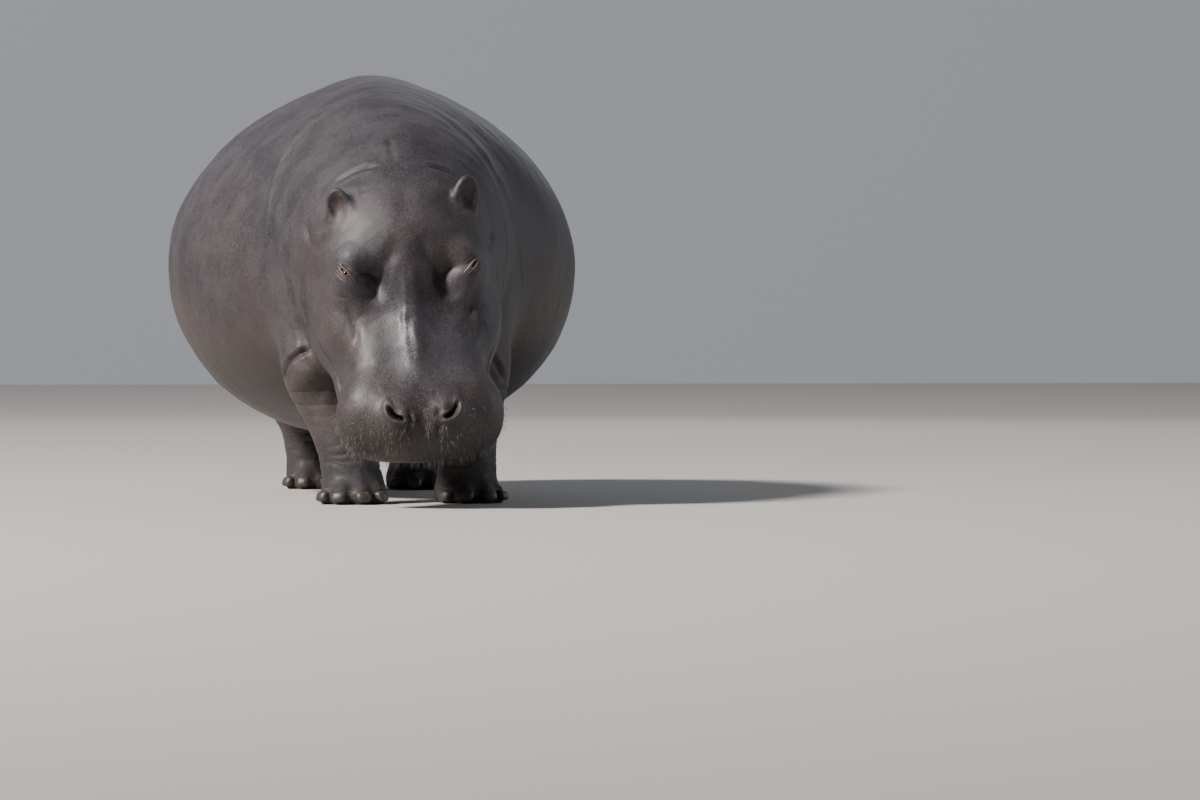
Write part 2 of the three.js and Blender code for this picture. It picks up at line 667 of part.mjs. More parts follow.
// Legs, feet and nails
for (const [name, leg] of Object.entries(LEGS)) {
  const limbSolid = around([leg.cut.at[0], leg.cut.at[1], 260], [330, 420, 300, 420], MESH.leg);
  part(name, limbSolid.intersect(legZone(leg, 0)).subtract(footZone(leg, CUT)), 'leg');
  const nails = TOE_ANGLES.map((_, i) => i);
  const footSolid = around([...leg.foot, 0], [230, 250, 60, 190], MESH.foot).intersect(footZone(leg, 0));
  part(name.replace('leg', 'foot'), subtractAll(footSolid, ...nails.map((i) => nail(leg, i, CUT))), 'leg');
  nails.forEach((i) => part(`${name.replace('leg', 'nail')}_${i + 1}`, nail(leg, i, 0), 'nail'));
}

part('tail', around(TAIL_ROOT, [150, 190, 560, 150], MESH.tail).intersect(tailZone(0)), 'back');

// The origin is the middle of the footprint of the whole animal, on the floor
const box = new THREE.Box3().setFromObject(animal);
animal.position.set(-(box.min.x + box.max.x) / 2, -(box.min.y + box.max.y) / 2, -box.min.z);

export default animal;
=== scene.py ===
"""A life-size museum model of a hippopotamus: wrinkled skin, eyes, toenails and bristles over the CAD.

Lengths are metres, +Z is up, the animal faces -Y and its left side is +X.
"""

import math

import bmesh
import bpy
import numpy as np
from mathutils import Matrix, Vector
from mathutils.bvhtree import BVHTree


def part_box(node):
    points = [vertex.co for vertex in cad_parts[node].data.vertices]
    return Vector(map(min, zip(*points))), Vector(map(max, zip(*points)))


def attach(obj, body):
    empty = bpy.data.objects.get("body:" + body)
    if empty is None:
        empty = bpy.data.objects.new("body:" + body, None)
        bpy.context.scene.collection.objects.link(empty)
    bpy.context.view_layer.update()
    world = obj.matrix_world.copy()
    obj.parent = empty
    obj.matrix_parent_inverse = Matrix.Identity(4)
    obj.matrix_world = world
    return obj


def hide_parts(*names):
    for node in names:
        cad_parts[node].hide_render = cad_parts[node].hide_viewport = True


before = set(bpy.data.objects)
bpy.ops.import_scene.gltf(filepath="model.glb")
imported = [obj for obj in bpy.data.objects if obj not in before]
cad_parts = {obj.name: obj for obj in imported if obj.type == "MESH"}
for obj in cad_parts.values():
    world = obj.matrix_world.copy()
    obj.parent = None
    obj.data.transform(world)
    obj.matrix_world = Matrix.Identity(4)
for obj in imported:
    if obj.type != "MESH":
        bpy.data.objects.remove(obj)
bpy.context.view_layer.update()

# ---- Sizes -----------------------------------------------------------------------------------

FLESH = [
    "trunk", "neck", "head", "muzzle", "lower_jaw", "ear_left", "ear_right", "tail",
    "foreleg_left", "foreleg_right", "hindleg_left", "hindleg_right",
    "forefoot_left", "forefoot_right", "hindfoot_left", "hindfoot_right",
]
EARS = ["ear_left", "ear_right"]
EYES = ["eye_left", "eye_right"]
NAILS = [f"{end}nail_{side}_{i}"
         for end in ("fore", "hind") for side in ("left", "right") for i in (1, 2, 3, 4)]
VOXEL = 0.006
SKIN_TRIANGLES = 192000
JOIN_OVERLAP = 0.001

HEAD_PITCH = 60
HEAD_LEAN = -3.4
EYES_AHEAD, EYES_UP = 0.212, -0.006   # from the crown, midway between the ears, to midway between the eyes
EYE_RADIUS = 0.0225
EYE_OUT = Vector((0.37, 0.10, 0.92)).normalized()
NOSTRIL_AT = (0.093, 0.756)
SLIT_TURN = 0.68                     # how far the slit slants, sideways for each length ahead
SLIT_HALF = (0.0225, 0.0040)         # half its length and half its opening
# Creases of the lids: place across the slit, width, depth
LID_CREASES = ((0.0155, 0.0020, 0.0032), (0.0225, 0.0022, 0.0022), (0.0300, 0.0026, 0.0014),
               (-0.0140, 0.0022, 0.0036), (-0.0235, 0.0028, 0.0026))
LID_RADIUS = EYE_RADIUS + 0.0045
EVENNESS = 1.5e-5                    # how strongly the lighter skin keeps the head's triangles
NOSTRIL_TURN = math.radians(42)
NOSTRIL_HALF = (0.034, 0.0125)
MOUTH_AHEAD = (0.335, 0.71)          # on the head: the mouth's corner, and where it turns round the front
MOUTH_UP, MOUTH_RISE = -0.29, 0.054  # its height at the front, and how much higher the corner is
RIM_WIDTH = 1.1                      # of the neck's width
RIM_BACK = 0.38                      # behind the trunk's front end
RIM_TURN = (0.13, 2.0)               # radians from straight up, where it starts and ends
RIM_FORWARD = {1: (1.0, 0.6, 0.20), -1: (1.42, 0.38, 0.16)}   # its crest, the crest's spread, how far forward


def middle_of(name):
    """The middle of a CAD node's box."""
    return sum(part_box(name), Vector()) / 2


HEAD_TURN = (Matrix.Rotation(math.radians(HEAD_LEAN), 4, "Y")
             @ Matrix.Rotation(math.radians(HEAD_PITCH), 4, "X") @ Matrix.Diagonal((1, -1, 1, 1)))
HEAD_AT = (middle_of("eye_left") + middle_of("eye_right")) / 2 - HEAD_TURN @ Vector((0, EYES_AHEAD, EYES_UP))
HEAD = Matrix.Translation(HEAD_AT) @ HEAD_TURN
HEAD_INVERSE = HEAD.inverted()


def on_head(side, ahead, up=0.0):
    """A point of the head's own frame: to the animal's left, towards the nose, out of the forehead."""
    return HEAD @ Vector((side, ahead, up))


# ---- The skin's base: the flesh solids as one smooth closed surface --------------------------

def merged(names, grow=0.0):
    """One mesh object of copies of CAD nodes, each grown by a little so that neighbours overlap."""
    whole = bmesh.new()
    for name in names:
        piece = bmesh.new()
        piece.from_mesh(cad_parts[name].data)
        bmesh.ops.remove_doubles(piece, verts=piece.verts, dist=1e-5)
        piece.normal_update()
        if grow:
            for vert in piece.verts:
                vert.co += vert.normal * grow
        mesh = bpy.data.meshes.new("part")
        piece.to_mesh(mesh)
        piece.free()
        whole.from_mesh(mesh)
        bpy.data.meshes.remove(mesh)
    mesh = bpy.data.meshes.new("merged")
    whole.to_mesh(mesh)
    whole.free()
    mesh.materials.clear()
    thing = bpy.data.objects.new("merged", mesh)
    bpy.context.scene.collection.objects.link(thing)
    return thing


def baked(thing):
    """Replaces an object's mesh by its modifiers' result."""
    graph = bpy.context.evaluated_depsgraph_get()
    mesh = bpy.data.meshes.new_from_object(thing.evaluated_get(graph))
    old = thing.data
    thing.modifiers.clear()
    thing.data = mesh
    bpy.data.meshes.remove(old)
    return thing


def remeshed(thing, voxel):
    step = thing.modifiers.new("remesh", "REMESH")
    step.mode = "VOXEL"
    step.voxel_size = voxel
    return baked(thing)


class Surface:
    """Vertex arrays of a mesh, with what sculpting needs: neighbours, normals and strokes."""

    def __init__(self, mesh):
        self.mesh = mesh
        self.read()

    def read(self):
        count = len(self.mesh.vertices)
        self.at = np.zeros(count * 3)
        self.mesh.vertices.foreach_get("co", self.at)
        self.at = self.at.reshape(-1, 3)
        edges = np.zeros(len(self.mesh.edges) * 2, np.int64)
        self.mesh.edges.foreach_get("vertices", edges)
        self.edges = edges.reshape(-1, 2)
        self.valence = np.bincount(self.edges.ravel(), minlength=count).astype(float)
        self.refresh()

    def refresh(self):
        """Writes the positions back and reads the new normals."""
        self.mesh.vertices.foreach_set("co", self.at.ravel())
        self.mesh.update()
        normals = np.zeros(len(self.at) * 3, np.float32)
        self.mesh.vertex_normals.foreach_get("vector", normals)
        self.out = normals.reshape(-1, 3).astype(float)
        self.head = self.at @ np.array(HEAD_INVERSE.to_3x3()).T + np.array(HEAD_INVERSE.translation)

    def spread(self, values):
        """The average over each vertex's neighbours, of one number or of three."""
        a, b = self.edges.T
        columns = values.reshape(len(self.at), -1)
        total = np.empty_like(columns)
        for i in range(columns.shape[1]):
            column = columns[:, i]
            total[:, i] = np.bincount(a, column[b], len(column)) + np.bincount(b, column[a], len(column))
        return (total / self.valence[:, None]).reshape(values.shape)

    def smooth(self, rounds, amount):
        """Moves each vertex towards its neighbours' average; amount is a share for each vertex."""
        amount = np.broadcast_to(amount, len(self.at))[:, None]
        for _ in range(rounds):
            self.at += amount * (self.spread(self.at) - self.at)
        self.refresh()

    def tree(self):
        verts = [tuple(p) for p in self.at]
        return BVHTree.FromPolygons(verts, [tuple(p.vertices) for p in self.mesh.polygons])


def ease(value):
    """0 below 0, 1 above 1 and smooth between."""
    t = np.clip(value, 0, 1)
    return t * t * (3 - 2 * t)


def near(points, centre, reach):
    """1 at a centre, falling smoothly to 0 at reach, which is one length or three along the axes."""
    away = np.linalg.norm((points - np.array(centre)) / np.array(reach), axis=1)
    return ease(1 - away)


def set_weights(thing, name, weights):
    group = thing.vertex_groups.new(name=name)
    weights = np.round(weights, 2)
    for value in np.unique(weights[weights > 0]):
        group.add([int(i) for i in np.flatnonzero(weights == value)], float(value), "REPLACE")
    return group.name


def regions(s):
    """Shares of the head, the legs with their feet, the ears and the tail at each vertex."""
    side, ahead, up = s.head.T
    x, y, z = s.at.T
    head = ease((ahead + 0.16) / 0.16) * ease((up + 0.60) / 0.15)
    legs = ease((0.44 - z) / 0.14) * (1 - head)
    ears = sum(near(s.at, middle_of(name), 0.13) for name in EARS)
    tail = ease((y - 1.36) / 0.08) * (1 - legs)
    return head, legs, np.clip(ears * 2.5, 0, 1), tail


def build_base():
    """The flesh as one surface: a coarse, well smoothed copy rounds the trunk, the rest keeps its shape."""
    whole = merged(FLESH + EYES, JOIN_OVERLAP)
    broad = bpy.data.objects.new("broad", whole.data.copy())
    bpy.context.scene.collection.objects.link(broad)
    remeshed(broad, 0.02)
    s = Surface(broad.data)
    head, legs, ears, tail = regions(s)
    share = 0.9 * (1 - np.clip(head + legs + tail, 0, 1)) * (1 - ears)
    s.smooth(50, share)
    once = s.at.copy()
    s.smooth(50, share)
    s.at = 2 * once - s.at
    s.refresh()
    skin = remeshed(whole, VOXEL)
    skin.name = "skin"
    s = Surface(skin.data)
    head, legs, ears, tail = regions(s)
    round_off = skin.modifiers.new("round off", "SHRINKWRAP")
    round_off.target = broad
    round_off.vertex_group = set_weights(skin, "round", (1 - np.clip(head + legs + tail, 0, 1)) * (1 - ears))
    baked(skin)
    skin.vertex_groups.clear()
    bpy.data.objects.remove(broad)
    s = Surface(skin.data)
    feet = ease((0.17 - s.at[:, 2]) / 0.04)
    step = (0.006 / VOXEL) ** 2
    s.smooth(max(1, round(4 * step)), 0.9 * (1 - ears * 0.6))
    s.smooth(max(1, round(8 * step)), 0.9 * (1 - ears) * (1 - feet * 0.8) * (1 - tail * 0.7))
    s.smooth(max(1, round(22 * step)), 0.9 * (1 - ears) * (1 - head) * (1 - feet) * (1 - tail))
    return skin, s


def refined(skin, spots, levels):
    """Splits the faces round some spots, each (centre, reach), in four for each level."""
    for level in range(levels):
        mesh = skin.data
        at = np.zeros(len(mesh.vertices) * 3)
        mesh.vertices.foreach_get("co", at)
        at = at.reshape(-1, 3)
        inside = np.zeros(len(at), bool)
        for centre, reach in spots:
            inside |= np.linalg.norm(at - np.array(centre), axis=1) < reach * (1 - 0.25 * level)
        ends = np.zeros(len(mesh.edges) * 2, np.int64)
        mesh.edges.foreach_get("vertices", ends)
        picked = np.flatnonzero(inside[ends.reshape(-1, 2)].all(1))
        form = bmesh.new()
        form.from_mesh(mesh)
        form.edges.ensure_lookup_table()
        bmesh.ops.subdivide_edges(form, edges=[form.edges[i] for i in picked], cuts=1, use_grid_fill=True)
        form.to_mesh(mesh)
        form.free()


# ---- Strokes: folds and swellings on the skin ------------------------------------------------

def waves(points, size, seed):
    """Smooth noise between about -1 and 1, whose bumps are about size apart."""
    rng = np.random.default_rng(seed)
    total = np.zeros(len(points))
    for _ in range(18):
        direction = rng.normal(size=3)
        direction *= rng.uniform(0.7, 1.4) * math.tau / size / np.linalg.norm(direction)
        total += np.sin(points @ direction + rng.uniform(0, math.tau))
    return total / 4


def curve(points, step):
    """Points a step apart along a smooth curve through some points."""
    points = np.array([points[0], *points, points[-1]], float)
    dense = []
    for i in range(1, len(points) - 2):
        p, q, r, t = points[i - 1:i + 3]
        count = max(2, round(np.linalg.norm(r - q) / step))
        for u in np.arange(count) / count:
            dense.append(0.5 * (2 * q + (r - p) * u + (2 * p - 5 * q + 4 * r - t) * u ** 2
                                + (3 * q - p - 3 * r + t) * u ** 3))
    return np.array(dense + [points[-2]])


def along(s, path, reach):
    """Vertices within reach of a path: their indices, distances and places from 0 to 1 along it."""
    low, high = path.min(0) - reach, path.max(0) + reach
    found = np.flatnonzero(((s.at > low) & (s.at < high)).all(1))
    best = np.full(len(found), 9.0)
    place = np.zeros(len(found))
    points = s.at[found]
    for i in range(len(path) - 1):
        a, ab = path[i], path[i + 1] - path[i]
        t = np.clip((points - a) @ ab / max(ab @ ab, 1e-12), 0, 1)
        away = np.linalg.norm(points - a - t[:, None] * ab, axis=1)
        closer = away < best
        best[closer] = away[closer]
        place[closer] = (i + t[closer]) / (len(path) - 1)
    close = best < reach
    return found[close], best[close], place[close]


def fold(s, path, half, depth, rim=0.0, taper=0.3):
    """A groove along a path (a ridge if depth is negative), with raised banks of height rim."""
    found, away, place = along(s, path, half * 4)
    ends = ease(np.minimum(place, 1 - place) / taper) if taper else 1.0
    uneven = 1 + 0.25 * waves(s.at[found], 0.09, 5)
    height = -depth * np.exp(-(away / half) ** 2) + rim * np.exp(-((away / half - 1.9) / 0.9) ** 2)
    s.at[found] += s.out[found] * (height * ends * uneven)[:, None]


def swell(s, centre, reach, height):
    """A rounded bump in the head's frame, or a hollow if height is negative."""
    s.at += s.out * (near(s.head, centre, reach) * height)[:, None]


class Caster:
    """Drops named points on to the skin."""

    def __init__(self, s):
        self.tree = s.tree()

    def hit(self, origin, direction):
        point = self.tree.ray_cast(Vector(origin), Vector(direction).normalized())[0]
        if point is None:
            raise ValueError(f"no skin from {tuple(origin)}")
        return np.array(point)

    def face(self, *points):
        """On the face, from (side, ahead), looking down on the forehead and snout."""
        down = HEAD.to_3x3() @ Vector((0, 0, -1))
        return curve([self.hit(on_head(x, y, 0.5), down) for x, y in points], 0.006)

    def front(self, *points):
        """On what shows from ahead, from (x, z)."""
        return curve([self.hit((x, -3, z), (0, 1, 0)) for x, z in points], 0.01)

    def flank(self, sign, *points):
        """On the left (1) or right (-1) flank, from (y, z)."""
        return curve([self.hit((3 * sign, y, z), (-sign, 0, 0)) for y, z in points], 0.012)

    def nearest(self, *points):
        return curve([np.array(self.tree.find_nearest(Vector(p))[0]) for p in points], 0.01)


def eye_frame(side):
    """The eyeball's centre, the way it looks out, and the slit's direction and cross direction."""
    centre = middle_of("eye_left" if side > 0 else "eye_right")
    turn = HEAD.to_3x3()
    out = (turn @ Vector((EYE_OUT.x * side, EYE_OUT.y, EYE_OUT.z))).normalized()
    slit = turn @ Vector((SLIT_TURN * -side, 1, 0))
    slit = (slit - out * slit.dot(out)).normalized()
    return np.array(centre), np.array(out), np.array(slit), np.cross(out, slit)


def eyelids(s, side):
    """Closes the flesh over the eyeball in one mound and opens the slit.

    Returns each vertex's distance outside the slit.
    """
    centre, out, slit, across = eye_frame(side)
    inward = np.array(HEAD.to_3x3() @ Vector((-side, 0, 0)))
    across = across * np.sign(across @ inward)
    local = s.at - centre
    u, v, h = local @ slit, local @ across, local @ out
    r = np.hypot(u * 0.72, v)
    here = ease((0.13 - np.linalg.norm(local, axis=1)) / 0.02)
    mound = 0.0235 - 0.018 * (r / 0.034) ** 2
    h_new = h + 0.007 * np.log1p(np.exp(np.clip((mound - h) / 0.007, -30, 30)))
    dome = np.sqrt(np.maximum(LID_RADIUS ** 2 - r ** 2, 0.0))
    share = 1 - ease((r - 0.008) / 0.020)
    h_new += (np.maximum(dome, h_new - 0.006) - h_new) * share
    half = SLIT_HALF[1] * np.sqrt(np.maximum(1 - (u / SLIT_HALF[0]) ** 2, 0))
    beyond = np.maximum(np.abs(u) - SLIT_HALF[0], 0)
    outside = np.hypot(np.maximum(np.abs(v) - half, 0), beyond)
    outside = np.where((beyond == 0) & (np.abs(v) < half), -(half - np.abs(v)), outside)
    bow = v * (1 + 6 * np.abs(u)) - 0.10 * u
    long = np.exp(-(u / 0.036) ** 4)
    h_new += 0.0030 * np.exp(-((bow - 0.0085) / 0.0040) ** 2) * long
    h_new += 0.0016 * np.exp(-((bow + 0.0075) / 0.0035) ** 2) * long
    for level, width, deep in LID_CREASES:
        h_new -= deep * np.exp(-((bow - level) / width) ** 2) * long
    h_new -= 0.013 * ease((0.0010 - outside) / 0.0022)
    s.at += ((h_new - h) * here)[:, None] * out
    return np.where(here > 0.5, outside, 1.0)


def nostril(s, cast, side):
    """Opens a slanting nostril with a raised rim. Returns each vertex's distance outside the opening."""
    turn = HEAD.to_3x3()
    centre = cast.hit(on_head(NOSTRIL_AT[0] * side, NOSTRIL_AT[1], 0.5), turn @ Vector((0, 0, -1)))
    out = np.array(turn @ Vector((0.25 * side, 0.35, 0.9)).normalized())
    slit = turn @ Vector((-side * math.sin(NOSTRIL_TURN), math.cos(NOSTRIL_TURN), 0))
    slit = np.array(slit) - out * np.dot(np.array(slit), out)
    slit /= np.linalg.norm(slit)
    across = np.cross(out, slit)
    local = s.at - centre
    u, v = local @ slit, local @ across
    here = np.linalg.norm(local, axis=1) < 0.10
    bow = v - 0.006 * side * (1 - (u / NOSTRIL_HALF[0]) ** 2)
    ring = np.hypot(u / NOSTRIL_HALF[0], bow / NOSTRIL_HALF[1])
    outside = (ring - 1) * NOSTRIL_HALF[1]
    rim = 0.006 * np.exp(-((outside - 0.006) / 0.007) ** 2)
    mound = 0.010 * ease(1 - np.hypot(u, v) / 0.085)
    pit = 0.034 * ease((0.003 - outside) / 0.011)
    inward = -out + 0.35 * slit
    s.at += (here * (rim + mound))[:, None] * s.out + (here * pit)[:, None] * inward
    return np.where(here, outside, 1.0)


skin, s = build_base()
spots = []
for side in (1, -1):
    spots.append((eye_frame(side)[0], 0.075))
    spots.append((on_head(NOSTRIL_AT[0] * side, NOSTRIL_AT[1], -0.01), 0.085))
for name in EARS:
    spots.append((middle_of(name), 0.09))
refined(skin, spots, 2)
s = Surface(skin.data)
local_soft = np.zeros(len(s.at))
for centre, reach in spots:
    local_soft = np.maximum(local_soft, near(s.at, centre, reach * 1.2))
s.smooth(6, 0.8 * ease(local_soft * 4) * (1 - 0.6 * sum(near(s.at, c, r * 1.2) for c, r in spots[4:])))
cast = Caster(s)


def sculpt_face(s, cast):
    fold(s, cast.face((0, 0.12), (0, 0.22), (0, 0.36), (0, 0.50), (0, 0.62)), 0.026, -0.009)
    fold(s, cast.face((0.0, -0.10), (0.0, 0.0), (0.0, 0.09)), 0.034, 0.004)
    fold(s, cast.face((-0.02, 0.20), (-0.03, 0.40), (-0.03, 0.58)), 0.013, -0.0065)
    for side in (1, -1):
        face = lambda *points: cast.face(*[(side * x, y) for x, y in points])
        fold(s, face((0.03, 0.12), (0.09, 0.21), (0.16, 0.28)), 0.030, 0.010)
        swell(s, (side * 0.136, 0.246, 0.0), (0.086, 0.090, 0.11), -0.024)
        swell(s, (side * 0.205, 0.160, 0.02), (0.090, 0.070, 0.08), 0.014)
        fold(s, face((0.24, 0.25), (0.21, 0.32), (0.20, 0.39), (0.21, 0.47)), 0.016, 0.0045)
        fold(s, face((0.26, 0.24), (0.25, 0.27), (0.21, 0.29)), 0.006, 0.0025, 0.001)
        fold(s, face((0.18, 0.15), (0.21, 0.13), (0.25, 0.15)), 0.007, 0.002, 0.001)
        fold(s, face((0.05, 0.74), (0.05, 0.79), (0.05, 0.84)), 0.011, 0.008, 0.002)
        fold(s, face((0.06, -0.09), (0.11, -0.10), (0.15, -0.08)), 0.010, 0.0025)
    for side in (1, -1):
        inward = HEAD.to_3x3() @ Vector((-side, 0, 0))
        back = HEAD.to_3x3() @ Vector((0, -1, 0))
        edge = []
        for y in np.linspace(*MOUTH_AHEAD, 6):
            to_front = (MOUTH_AHEAD[1] - y) / (MOUTH_AHEAD[1] - MOUTH_AHEAD[0])
            edge.append(cast.hit(on_head(0.7 * side, y, MOUTH_UP + MOUTH_RISE * to_front ** 2), inward))
        for x, z in ((0.14, -0.28), (0.06, -0.27), (0, -0.27)):
            edge.append(cast.hit(on_head(x * side, 1.3, z), back))
        fold(s, curve(edge, 0.006), 0.008, 0.014, 0.002, 0.06)


def shoulder_rim(side):
    """A shoulder's front rim: an arch about the neck that comes forward round a height of its own."""
    neck_low, neck_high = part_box("neck")
    trunk_low, trunk_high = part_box("trunk")
    half = RIM_WIDTH * (neck_high.x - neck_low.x) / 2
    middle = (trunk_low.z + trunk_high.z) / 2
    rise = (neck_high.z + trunk_high.z) / 2 - middle
    crest, spread, reach = RIM_FORWARD[side]
    rim = []
    for turn in np.linspace(*RIM_TURN, 8):
        ahead = reach * math.exp(-((turn - crest) / spread) ** 2)
        rim.append((side * half * math.sin(turn), trunk_low.y + RIM_BACK - ahead,
                    middle + rise * math.cos(turn)))
    return rim


def jowl_hook():
    """The fold below and behind the left ear, which hooks forward under the cheek."""
    ear = middle_of("ear_left")
    hook = []
    for share in np.linspace(0, 1, 6):
        turn = share * math.radians(150)
        hook.append((ear.x + 0.12 - 0.08 * share, ear.y + 0.04 + 0.09 * math.cos(turn),
                     ear.z - 0.06 - 0.12 * math.sin(turn)))
    return hook


def nape_fold():
    """The fold behind the left ear, rising towards the middle of the nape."""
    ear = middle_of("ear_left")
    steps = ((0.04, 0.09, 0.04), (-0.04, 0.08, 0.08), (-0.12, 0.06, 0.10))
    return [tuple(ear + Vector(step)) for step in steps]


def elbow_arch():
    """The fold that arches over the left elbow, from its outer side round its front."""
    arch = []
    for turn in np.linspace(0, math.radians(135), 6):
        arch.append((0.27 + 0.13 * math.cos(turn), -0.76 - 0.12 * math.sin(min(turn, math.pi / 2)),
                     0.42 + 0.13 * math.sin(turn)))
    return arch


def sculpt_body(s, cast):
    for side in (-1, 1):
        rim = shoulder_rim(side)
        fold(s, cast.nearest(*rim), 0.014, -0.006)
        trough = [(x * 0.97, y - 0.05, z) for x, y, z in rim]
        fold(s, cast.nearest(*trough), 0.028, 0.006 if side < 0 else 0.003)
    fold(s, cast.front((-0.03, 1.28), (-0.03, 1.23), (-0.02, 1.19)), 0.012, 0.005)
    for side in (1, -1):
        cut = lambda *points: cast.nearest(*[(side * x, y, z) for x, y, z in points])
        fold(s, cut(*nape_fold()), 0.012, 0.006, 0.003)
        fold(s, cut(*jowl_hook()), 0.019, 0.008, 0.002)
        fold(s, cut((0.33, -1.00, 0.86), (0.34, -0.97, 0.74), (0.31, -0.96, 0.62), (0.2, -0.97, 0.53),
                    (0.0, -0.98, 0.50)), 0.017, 0.010, 0.004)
        fold(s, cut((0.35, -0.86, 1.10), (0.39, -0.86, 0.92), (0.39, -0.86, 0.75), (0.36, -0.87, 0.60),
                    (0.22, -0.89, 0.50), (0.0, -0.90, 0.46)), 0.020, 0.011, 0.004)
        s.at += s.out * (near(s.at, (side * 0.325, -0.865, 0.445), (0.10, 0.10, 0.085)) * 0.014)[:, None]
        fold(s, cut(*elbow_arch()), 0.012, 0.011, 0.003, 0.12)
        fold(s, cut((0.38, -0.60, 0.50), (0.40, -0.56, 0.40), (0.32, -0.55, 0.33)), 0.020, 0.012, 0.003)
        fold(s, cast.flank(side, (0.60, 0.36), (0.66, 0.45), (0.74, 0.56), (0.80, 0.70)), 0.026, 0.010)
        fold(s, cut((0.42, 1.06, 0.52), (0.42, 1.14, 0.60), (0.40, 1.20, 0.74)), 0.022, 0.007)
        fold(s, cut((0.10, 1.44, 1.06), (0.14, 1.44, 0.90), (0.15, 1.42, 0.74), (0.12, 1.36, 0.60)),
             0.020, 0.008)
    s.refresh()
    height = np.zeros(len(s.at))
    for name in ("foreleg_left", "foreleg_right", "hindleg_left", "hindleg_right"):
        low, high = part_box(name.replace("leg", "foot"))
        middle = (low + high) / 2
        rel = s.at[:, :2] - np.array(middle)[:2]
        turn = np.arctan2(rel[:, 1], rel[:, 0])
        mine = (np.hypot(*rel.T) < 0.26) * ease((0.50 - s.at[:, 2]) / 0.08)
        for k, level in enumerate((0.135, 0.158, 0.182, 0.212, 0.243, 0.272, 0.305, 0.345, 0.385)):
            seed = k * 7 + len(name) + middle.x * 10
            bend = 0.010 * np.sin(turn + seed) + 0.005 * np.sin(3 * turn + seed * 2)
            part = 0.5 + 0.5 * np.sin(turn * 2 + seed * 1.7)
            width = 0.0045 + 0.0015 * math.sin(seed)
            deep = 0.0045 if level < 0.22 else 0.003
            height -= mine * part * deep * np.exp(-((s.at[:, 2] - level - bend) / width) ** 2)
    head = ease((s.head[:, 1] + 0.1) / 0.2)
    height += (0.0020 * waves(s.at, 0.36, 1) + 0.0008 * waves(s.at * (1, 1.6, 0.8), 0.10, 2)) * (1 - head)
    height += 0.0004 * waves(s.at, 0.045, 3) * head
    height *= ease((s.at[:, 2] - 0.03) / 0.05)
    s.at += s.out * height[:, None]
    s.at[:, 2] = np.maximum(s.at[:, 2], 0.0)
    s.refresh()


def lighten(skin, s):
    """Collapses triangles to the budget, evenly on the trunk and by shape on the head."""
    group = set_weights(skin, "shapely", 0.1 + 0.9 * ease((s.head[:, 1] + 0.15) / 0.1))
    lighter = skin.modifiers.new("lighter", "DECIMATE")
    lighter.ratio = SKIN_TRIANGLES / sum(len(p.vertices) - 2 for p in skin.data.polygons)
    lighter.vertex_group = group
    lighter.vertex_group_factor = EVENNESS
    baked(skin)
    skin.vertex_groups.clear()


sculpt_face(s, cast)
sculpt_body(s, cast)
slit = np.minimum(eyelids(s, 1), eyelids(s, -1))
hole = np.minimum(nostril(s, cast, 1), nostril(s, cast, -1))
s.smooth(1, 0.5 * (np.abs(slit) < 0.01) + 0.5 * (np.abs(hole) < 0.01))

lighten(skin, s)
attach(skin, "root")
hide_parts(*FLESH)
for polygon in skin.data.polygons:
    polygon.use_smooth = True


# ---- Masks on the skin -----------------------------------------------------------------------

def mask(mesh, name, values):
    layer = mesh.attributes.new(name, "FLOAT", "POINT")
    layer.data.foreach_set("value", np.clip(values, 0, 1).astype(np.float32))


